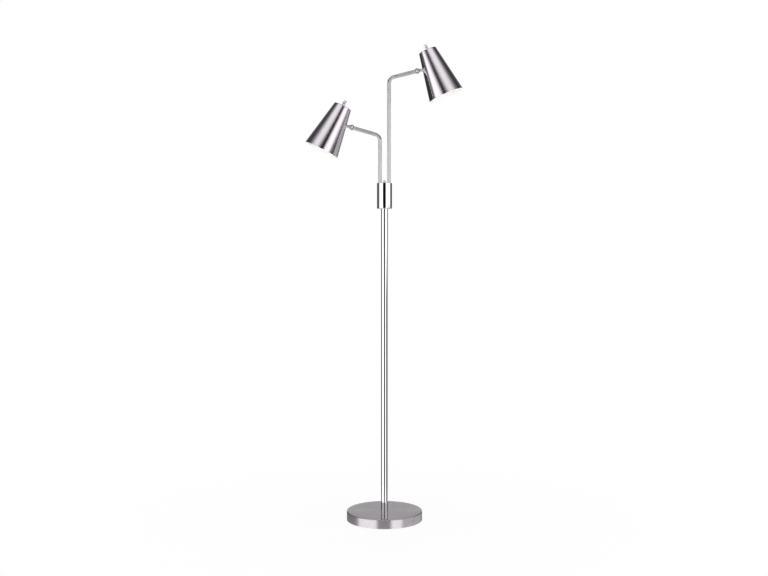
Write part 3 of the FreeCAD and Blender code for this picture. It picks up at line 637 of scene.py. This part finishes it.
def arm_path(side):
    """The arm tube's centre line from its foot to the knuckle."""
    pivot = Vector(JOINTS[f"{side}_head_tilt"]["pos_m"])
    start_x = JOINTS[f"{side}_arm_swivel"]["pos_m"][0]
    foot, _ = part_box(f"{side}_arm_tube")
    sign = outward(side)
    rise = math.radians(RISE_DEG[side])
    along = Vector((sign * math.cos(rise), 0, math.sin(rise)))
    corner = Vector((start_x, 0, pivot.z - abs(pivot.x - start_x) * math.tan(rise)))
    tangent = BEND * math.tan(math.radians(45) - rise / 2)
    centre = corner + Vector((sign * BEND, 0, -tangent))
    path = [Vector((start_x, 0, foot.z)), Vector((start_x, 0, (foot.z + corner.z) / 2))]
    turn = math.pi / 2 - rise
    for step in range(BEND_STEPS + 1):
        angle = turn * step / BEND_STEPS
        path.append(centre + Vector((-sign * math.cos(angle), 0, math.sin(angle))) * BEND)
    path.append(pivot - along * FORK_STUB)
    return path


def arm(side):
    """The bent tube between the junction and the knuckle."""
    tube = sweep(f"{side}_arm_tube_bent", arm_path(side), ARM_RADIUS, ARM_RADIUS - ARM_WALL,
                 [ARM_NICKEL])
    stand_for(tube, f"{side}_arm_tube", f"{side}_arm")


# ---------------------------------------------------------------- heads

SWITCH_HOLE = 3.5 * MM  # radius round the switch's collar, in the shade's top and the ring nut


def head_view(side, node):
    """The place on the shade's top whose Z is the shade's axis, and the node's points there."""
    joint = JOINTS[f"{side}_switch_turn"]
    place = frame_at(joint["pos_m"], joint["axis"])
    return place, local_points(f"{side}_{node}", place)


def shade(side):
    """The spun cone with its closed, rounded top: brushed outside, painted white inside."""
    place, points = head_view(side, "shade")
    mouth_z, top_z = heights(points)
    mouth = reach(points, mouth_z, mouth_z + PROBE)
    top = 29.5 * MM
    slope = math.atan((mouth - top) / (top_z - mouth_z))
    wall = 0.8 * MM
    thick = wall / math.cos(slope)
    edge = 1.8 * MM
    edge_in = edge * math.tan(math.radians(45) - slope / 2)
    slope_deg = math.degrees(slope)
    centre = (top - edge_in, -edge)
    rim = 0.3 * MM
    profile = [(SWITCH_HOLE, 0.0)]
    profile += arc(centre, edge, 90, slope_deg)
    profile += [(mouth - rim * math.sin(slope), mouth_z + rim), (mouth - rim, mouth_z)]
    paint_start = len(profile) - 2
    profile += [(mouth - thick, mouth_z)]
    profile += arc(centre, edge - wall, slope_deg, 90)
    profile += [(SWITCH_HOLE, -wall)]
    hole_edge = len(profile) - 1

    def paint_slot(index):
        return 1 if paint_start <= index < hole_edge else 0

    piece = lathe(f"{side}_shade_spun", profile, [LOOKS["brushed_nickel"], SHADE_PAINT], place,
                  WIDE_FACETS, slot_of=paint_slot)
    stand_for(piece, f"{side}_shade", f"{side}_head")


def bulb(side):
    """The blown globe: a ball that narrows in a straight flank to its neck."""
    place, points = head_view(side, "bulb")
    low, neck_z = heights(points)
    neck = reach(points, neck_z - PROBE, neck_z)
    radius = 24.0 * MM
    centre = (0, low + radius)
    flank_deg = 12.3
    wall = 1.2 * MM
    lip = 1.2 * MM
    lip_flare = 0.15 * MM
    ball_steps = 40
    profile = [(neck, neck_z), (neck + lip_flare, neck_z - lip)]
    profile += arc(centre, radius, flank_deg, -90, ball_steps)[:-1]
    profile += [(0, low), (0, low + wall)]
    profile += arc(centre, radius - wall, -90, flank_deg, ball_steps)[1:]
    profile += [(neck - wall, neck_z)]
    piece = lathe(f"{side}_bulb_blown", profile, [LOOKS["bulb_globe"]], place, SMALL_FACETS)
    stand_for(piece, f"{side}_bulb", f"{side}_head")


def knob(side):
    """A turned switch knob with straight knurling between two plain bands."""
    place, points = head_view(side, "knob")
    low, high = heights(points)
    radius = reach(points, low, high)
    well = low + 2.8 * MM
    well_radius = 4.1 * MM
    bore = 1.8 * MM
    bore_top = well + 9.0 * MM
    edge = 1.6 * MM
    groove = 0.35 * MM
    band = 2.2 * MM
    bevel = 0.3 * MM
    profile = [(well_radius, low), (radius - bevel, low), (radius, low + bevel)]
    profile += [(radius, low + band), (radius - groove, low + band + groove)]
    first = len(profile)
    profile += [(radius, low + band + 2 * groove), (radius, high - edge - 2 * groove)]
    last = len(profile) - 1
    profile += [(radius - groove, high - edge - groove)]
    profile += arc((radius - edge, high - edge), edge, 0, 90)
    profile += [(0, high), (0, bore_top), (bore, bore_top), (bore, well), (well_radius, well)]
    piece = lathe(f"{side}_knob_turned", profile, [LOOKS["polished_nickel"]], place,
                  SCREW_FACETS, knurl=(first, last, groove))
    stand_for(piece, f"{side}_knob", f"{side}_knob")


def ring_nut(side):
    """The thin knurled nut that holds the switch in the shade's top."""
    place, points = head_view(side, "ring_nut")
    low, high = heights(points)
    radius = reach(points, low, high)
    edge = 0.4 * MM
    groove = 0.2 * MM
    profile = [(SWITCH_HOLE, low), (radius - edge, low)]
    first = len(profile)
    profile += [(radius, low + edge), (radius, high - edge)]
    last = len(profile) - 1
    profile += [(radius - edge, high), (SWITCH_HOLE, high)]
    piece = lathe(f"{side}_ring_nut_knurled", profile, [LOOKS["polished_nickel"]], place,
                  SMALL_FACETS, knurl=(first, last, groove))
    stand_for(piece, f"{side}_ring_nut", f"{side}_head")


def lampholder(side):
    """The phenolic lampholder with cooling grooves round its lower half."""
    place, points = head_view(side, "lampholder")
    low, high = heights(points)
    radius = reach(points, low, high)
    bore = 15.0 * MM
    bore_top = high - 16.0 * MM
    pocket = 9.0 * MM
    pocket_low = high - 9.05 * MM
    edge = 1.0 * MM
    edge_steps = 6
    grooves = 6
    first_groove = low + 4.0 * MM
    pitch = 3.2 * MM
    depth = 0.7 * MM
    width = 1.4 * MM
    flank = 0.3 * MM
    profile = [(bore, low), (radius - edge, low)]
    profile += arc((radius - edge, low + edge), edge, -90, 0, edge_steps)
    for index in range(grooves):
        start = first_groove + index * pitch
        end = start + width
        profile += [(radius, start), (radius - depth, start + flank),
                    (radius - depth, end - flank), (radius, end)]
    profile += arc((radius - edge, high - edge), edge, 0, 90, edge_steps)
    profile += [(pocket, high), (pocket, pocket_low), (0, pocket_low), (0, bore_top),
                (bore, bore_top)]
    piece = lathe(f"{side}_lampholder_moulded", profile, [LOOKS["phenolic"]], place,
                  SMALL_FACETS)
    stand_for(piece, f"{side}_lampholder", f"{side}_head")


# ---------------------------------------------------------------- knuckles
# Each knuckle part is drawn about the pivot, with the arm's or the neck's direction along +Z
# and the pivot screw along Y.

KNUCKLE = 8.5 * MM          # radius of the round ears and of the tongue
KNUCKLE_WIDTH = 14.0 * MM
TONGUE = 5.0 * MM           # thickness of the tongue
TONGUE_GAP = 0.5 * MM       # from the tongue's edge to the bottom of its slot
FACE_GAP = 0.1 * MM         # beside the tongue's flat faces
RUNNING_GAP = 0.05 * MM     # round the pivot screw
PIN = 2.5 * MM              # radius of the pivot screw
SPIGOT = 12.0 * MM          # length of the fork's plug inside the arm
WIRE_WAY = 2.6 * MM         # radius of the hole for the lead
OVERLAP = 1.0 * MM          # how far joined forms run into each other
SHADE_SLOPE_DEG = 10.42     # half angle of the shade's cone; the neck is square to its wall
KNUCKLE_STEPS = 5
ACROSS = Matrix.Rotation(math.radians(90), 4, "X")


def merged(first, second, operation):
    """Join the second scratch piece to the first, or cut it away, and keep the first."""
    bpy.context.view_layer.update()
    change = first.modifiers.new("change", "BOOLEAN")
    change.operation = operation
    change.solver = "EXACT"
    change.object = second
    graph = bpy.context.evaluated_depsgraph_get()
    mesh = bpy.data.meshes.new_from_object(first.evaluated_get(graph))
    first.modifiers.clear()
    first.data = mesh
    bpy.data.objects.remove(second)
    return first


def block(name, low, high):
    """A plain box between two corners, for joining or cutting."""
    mesh = bpy.data.meshes.new(name)
    corners = [(x, y, z) for x in (low[0], high[0]) for y in (low[1], high[1])
               for z in (low[2], high[2])]
    faces = [(0, 1, 3, 2), (4, 6, 7, 5), (0, 4, 5, 1), (2, 3, 7, 6), (0, 2, 6, 4), (1, 5, 7, 3)]
    mesh.from_pydata(corners, [], faces)
    return link(bpy.data.objects.new(name, mesh))


def round_bar(name, radius, low, high, edge, segments=SMALL_FACETS):
    """A turned satin bar about Z with rounded ends."""
    profile = [(0, low)]
    profile += arc((radius - edge, low + edge), edge, -90, 0, KNUCKLE_STEPS)
    profile += arc((radius - edge, high - edge), edge, 0, 90, KNUCKLE_STEPS)
    profile += [(0, high)]
    return lathe(name, profile, [LOOKS["satin_nickel"]], segments=segments)


def cross_bar(name, radius, half, edge, segments=SMALL_FACETS):
    """A round bar along Y, as long on both sides of the pivot."""
    bar = round_bar(name, radius, -half, half, edge, segments)
    bar.matrix_world = ACROSS
    return bar


def settle(piece, place):
    """Give a joined piece its smooth shading and its place."""
    smooth(piece.data)
    piece.matrix_world = place


def pivot_place(side, rise):
    """The place at the knuckle's pivot whose Z points outwards, at an angle above level."""
    pivot = JOINTS[f"{side}_head_tilt"]["pos_m"]
    return frame_at(pivot, (outward(side) * math.cos(rise), 0, math.sin(rise)))


def fork(side):
    """The arm's end of the knuckle: a plug in the tube, a stub and two round ears."""
    stub_edge = 0.3 * MM
    spigot_edge = 0.4 * MM
    ear_edge = 0.7 * MM
    cut_edge = 0.1 * MM
    tube_end = -FORK_STUB
    plug_end = tube_end - SPIGOT
    piece = round_bar(f"{side}_fork_cast", ARM_RADIUS, tube_end, 0, stub_edge)
    spigot = round_bar("spigot", ARM_RADIUS - ARM_WALL, plug_end, -OVERLAP, spigot_edge)
    piece = merged(piece, spigot, "UNION")
    ears = cross_bar("ears", KNUCKLE, KNUCKLE_WIDTH / 2, ear_edge, KNUCKLE_FACETS)
    piece = merged(piece, ears, "UNION")
    depth = KNUCKLE + TONGUE_GAP
    gap = TONGUE / 2 + FACE_GAP
    slot = block("slot", (-2 * KNUCKLE, -gap, -depth), (2 * KNUCKLE, gap, depth))
    piece = merged(piece, slot, "DIFFERENCE")
    piece = merged(piece, cross_bar("bore", PIN, KNUCKLE_WIDTH, cut_edge), "DIFFERENCE")
    wire = round_bar("wire", WIRE_WAY, plug_end - FORK_STUB, tube_end, cut_edge)
    piece = merged(piece, wire, "DIFFERENCE")
    settle(piece, pivot_place(side, math.radians(RISE_DEG[side])))
    stand_for(piece, f"{side}_fork", f"{side}_arm")


def neck(side):
    """The shade's end of the knuckle: a round tongue, a short bar and a stud into the shade."""
    radius = 5.0 * MM
    length = 18.4 * MM
    seat = length + 0.35 * MM
    bar_edge = 0.3 * MM
    stud_radius = 4.0 * MM
    stud_start = length - 2.5 * MM
    stud_end = length + 9.0 * MM
    stud_edge = 0.5 * MM
    disc_edge = 0.2 * MM
    cut_edge = 0.1 * MM
    start = KNUCKLE + TONGUE_GAP
    half = TONGUE / 2
    piece = round_bar(f"{side}_neck_turned", radius, start, seat, bar_edge)
    stud = round_bar("stud", stud_radius, stud_start, stud_end, stud_edge)
    piece = merged(piece, stud, "UNION")
    strip_half = radius - 0.02 * MM
    strip = block("strip", (-strip_half, -half, 0), (strip_half, half, start + OVERLAP))
    piece = merged(piece, strip, "UNION")
    piece = merged(piece, cross_bar("disc", KNUCKLE, half, disc_edge, KNUCKLE_FACETS), "UNION")
    bore = cross_bar("bore", PIN + RUNNING_GAP, TONGUE, cut_edge)
    piece = merged(piece, bore, "DIFFERENCE")
    axis = Vector(JOINTS[f"{side}_switch_turn"]["axis"])
    tilt = math.atan2(abs(axis.x), axis.z)
    settle(piece, pivot_place(side, tilt - math.radians(SHADE_SLOPE_DEG)))
    stand_for(piece, f"{side}_neck", f"{side}_head")


def pivot_screw(side):
    """The pan-head screw with a driver slot. Its shank ends in the nut behind the knuckle."""
    half = KNUCKLE_WIDTH / 2
    head = 4.5 * MM
    head_height = 2.4 * MM
    side_height = 0.7 * MM
    nut_height = 3.2 * MM
    bevel = 0.4 * MM
    slot_half = 0.5 * MM
    slot_depth = 1.0 * MM
    slot_turn_deg = 35
    dome_steps = 14
    end = -half - nut_height
    crown_top = half + head_height
    crown = head_height - side_height
    dome = (head * head + crown * crown) / (2 * crown)
    dome_deg = math.degrees(math.asin(head / dome))
    profile = [(0, end), (PIN - bevel, end), (PIN, end + bevel), (PIN, half), (head, half)]
    profile += arc((0, crown_top - dome), dome, 90 - dome_deg, 90, dome_steps)[:-1]
    profile += [(0, crown_top)]
    piece = lathe(f"{side}_pivot_screw_pan", profile, [LOOKS["satin_nickel"]],
                  segments=SCREW_FACETS)
    slot = block("slot", (-head, -slot_half, crown_top - slot_depth),
                 (head, slot_half, crown_top + head_height))
    piece = merged(piece, slot, "DIFFERENCE")
    place = pivot_place(side, math.radians(RISE_DEG[side])) @ ACROSS
    settle(piece, place @ Matrix.Rotation(math.radians(slot_turn_deg), 4, "Z"))
    stand_for(piece, f"{side}_pivot_screw", f"{side}_arm")


# ---------------------------------------------------------------- kept nodes


def dress_nodes():
    """Give every node that stays the look of its material slot."""
    slots = {part["node"]: part["material_slot"] for part in frame["record"]["subparts"]}
    for name, node in NODES.items():
        look = LOOKS[slots[name]]
        if not node.material_slots:
            node.data.materials.append(look)
        for material_slot in node.material_slots:
            material_slot.material = look


# ---------------------------------------------------------------- studio

# Brightness round the studio by the angle from the camera's side in degrees, right positive.
# Low down, two bright panels stand left and right of a dark gap; above them is a dark strip
# and then a lit ceiling over the camera's half of the room.
LOWEST_BANDS = [
    (-180, 0.52), (-164, 0.52), (-154, 0.03), (-100, 0.01), (-90, 0.30), (-80, 1.35),
    (-26, 1.35), (-18, 0.005), (16, 0.005), (24, 1.35), (51, 1.35), (60, 0.06), (92, 0.08),
    (108, 0.50), (135, 0.45), (152, 0.10), (164, 0.52), (180, 0.52),
]
LOW_BANDS = [
    (-180, 0.52), (-164, 0.52), (-154, 0.03), (-124, 0.04), (-96, 0.16), (-88, 0.30),
    (-78, 1.35), (-29, 1.35), (-21, 0.005), (17, 0.005), (25, 1.35), (90, 1.35), (99, 0.35),
    (112, 0.08), (130, 0.01), (154, 0.03), (164, 0.52), (180, 0.52),
]
STRIP_BANDS = [
    (-180, 0.28), (-160, 0.26), (-150, 0.06), (-100, 0.02), (0, 0.02), (100, 0.02), (150, 0.06),
    (160, 0.26), (180, 0.28),
]
HIGH_BANDS = [
    (-180, 0.80), (-160, 0.80), (-140, 0.12), (-114, 0.04), (-93, 0.12), (-73, 0.32),
    (-55, 0.74), (-38, 1.02), (30, 1.06), (40, 0.92), (56, 0.64), (74, 0.24), (94, 0.10),
    (114, 0.03), (140, 0.12), (160, 0.80), (180, 0.80),
]
ZENITH = 0.10
GROUND = 0.95
GROUND_SHARE = 0.62     # how much of the bright ground covers the bands below the horizon
NADIR = 0.30
# Heights on the unit sphere between which one ring gives way to the next.
LOW_EDGE = (-0.04, 0.02)
STRIP_EDGE = (0.20, 0.325)
HIGH_EDGE = (0.44, 0.58)
ZENITH_EDGE = (0.80, 0.92)
GROUND_EDGE = (-0.29, -0.225)
NADIR_EDGE = (-0.95, -0.82)

FLOOR_GREY = 0.86
FLOOR_GLOW = 0.92       # share of plain white that the camera sees on the floor
FLOOR_FADE = (0.25, 1.1)    # distances between which the floor fades out
FLOOR_HALF = 30.0
LAMP_MIDDLE = (0, 0, 0.8)
HEADS_MIDDLE = (0, 0, 1.3)
WHITE = (1, 1, 1, 1)
# name, place, target, size and power
LIGHTS = [
    ("key", (-1.8, -2.6, 3.2), LAMP_MIDDLE, 2.4, 60.0),
    ("fill", (2.4, -2.2, 2.4), LAMP_MIDDLE, 2.4, 35.0),
    ("back", (0.4, 2.6, 3.0), LAMP_MIDDLE, 2.0, 40.0),
    ("low back", (-0.6, 2.4, 0.4), HEADS_MIDDLE, 1.6, 35.0),
    ("low left", (-1.6, -1.4, 0.3), HEADS_MIDDLE, 1.2, 18.0),
    ("low right", (1.8, -1.4, 0.3), HEADS_MIDDLE, 1.2, 18.0),
]


def studio_world():
    """White to the camera; to everything else a studio of light and dark panels."""
    world = bpy.data.worlds.new("studio")
    bpy.context.scene.world = world
    world.use_nodes = True
    graph = Graph(world.node_tree)
    coordinates = graph.tree.nodes.new("ShaderNodeTexCoord")
    split = graph.add("ShaderNodeSeparateXYZ", Vector=coordinates.outputs["Generated"])
    x, y, z = split.outputs
    turn = graph.math("ARCTAN2", x, graph.math("MULTIPLY", y, -1.0))
    share = graph.math("MULTIPLY_ADD", turn, 0.5 / math.pi, 0.5)

    def bands(stops):
        return graph.ramp(share, [((angle + 180) / 360, value) for angle, value in stops])

    seen = bands(LOWEST_BANDS)
    rings = [
        (0.0, 1.0, LOW_EDGE, bands(LOW_BANDS)),
        (0.0, 1.0, STRIP_EDGE, bands(STRIP_BANDS)),
        (0.0, 1.0, HIGH_EDGE, bands(HIGH_BANDS)),
        (0.0, 1.0, ZENITH_EDGE, (ZENITH, ZENITH, ZENITH)),
        (GROUND_SHARE, 0.0, GROUND_EDGE, (GROUND, GROUND, GROUND)),
        (1.0, 0.0, NADIR_EDGE, (NADIR, NADIR, NADIR)),
    ]
    for share_below, share_above, (start, end), ring in rings:
        cover = graph.spread(z, share_below, share_above, start, end)
        seen = graph.mix_colour(cover, seen, ring)
    path = graph.tree.nodes.new("ShaderNodeLightPath").outputs
    panels = graph.add("ShaderNodeBackground", Strength=1.0)
    graph.feed(panels, "Color", seen)
    white = graph.add("ShaderNodeBackground", Color=WHITE, Strength=1.0)
    clear = graph.math("MAXIMUM", path["Is Camera Ray"], path["Is Transmission Ray"])
    shown = graph.mix_shader(clear, panels.outputs[0], white.outputs[0])
    graph.finish("ShaderNodeOutputWorld", shown)


def floor():
    """A pale floor that reads as white, keeps the lamp's shadow and fades out further off."""
    material = bpy.data.materials.new("floor_look")
    material.use_nodes = True
    graph = Graph(material.node_tree)
    path = graph.tree.nodes.new("ShaderNodeLightPath").outputs
    place, _ = graph.object_xyz()
    paper = graph.add("ShaderNodeBsdfDiffuse", Color=(FLOOR_GREY, FLOOR_GREY, FLOOR_GREY, 1))
    glow = graph.add("ShaderNodeEmission", Color=WHITE, Strength=1.0)
    glowing = graph.math("MULTIPLY", path["Is Camera Ray"], FLOOR_GLOW)
    shown = graph.mix_shader(glowing, paper.outputs[0], glow.outputs[0])
    length = graph.add("ShaderNodeVectorMath", {"operation": "LENGTH"})
    graph.feed(length, "0", place)
    far = graph.spread(length.outputs["Value"], 0.0, 1.0, *FLOOR_FADE)
    far = graph.math("MULTIPLY", far, path["Is Camera Ray"])
    # reflections and shadow rays pass through the floor to the panels of the studio
    gone = graph.math("MAXIMUM", far, path["Is Glossy Ray"])
    gone = graph.math("MAXIMUM", gone, path["Is Shadow Ray"])
    clear = graph.tree.nodes.new("ShaderNodeBsdfTransparent")
    graph.finish("ShaderNodeOutputMaterial", graph.mix_shader(gone, shown, clear.outputs[0]))
    mesh = bpy.data.meshes.new("floor")
    half = FLOOR_HALF
    corners = [(-half, -half, 0), (half, -half, 0), (half, half, 0), (-half, half, 0)]
    mesh.from_pydata(corners, [], [(0, 1, 2, 3)])
    mesh.materials.append(material)
    plane = link(bpy.data.objects.new("floor", mesh))


def soft_light(name, place, target, size, power):
    """A round panel that lights the lamp but isn't mirrored in it."""
    data = bpy.data.lights.new(name, "AREA")
    data.shape = "DISK"
    data.size = size
    data.energy = power
    light = link(bpy.data.objects.new(name, data))
    light.location = place
    toward = Vector(target) - Vector(place)
    light.rotation_euler = toward.to_track_quat("-Z", "Y").to_euler()
    light.visible_glossy = False


def studio():
    """The panels that the metal mirrors, the floor and the lights."""
    studio_world()
    floor()
    for light in LIGHTS:
        soft_light(*light)


# ---------------------------------------------------------------- build

bpy.context.scene.view_settings.view_transform = "Standard"
add_camera()
dress_nodes()
base_cover()
pole()
junction()
finial()
for side in SIDES:
    arm(side)
    shade(side)
    bulb(side)
    knob(side)
    ring_nut(side)
    lampholder(side)
    fork(side)
    neck(side)
    pivot_screw(side)
studio()

bpy.context.view_layer.update()
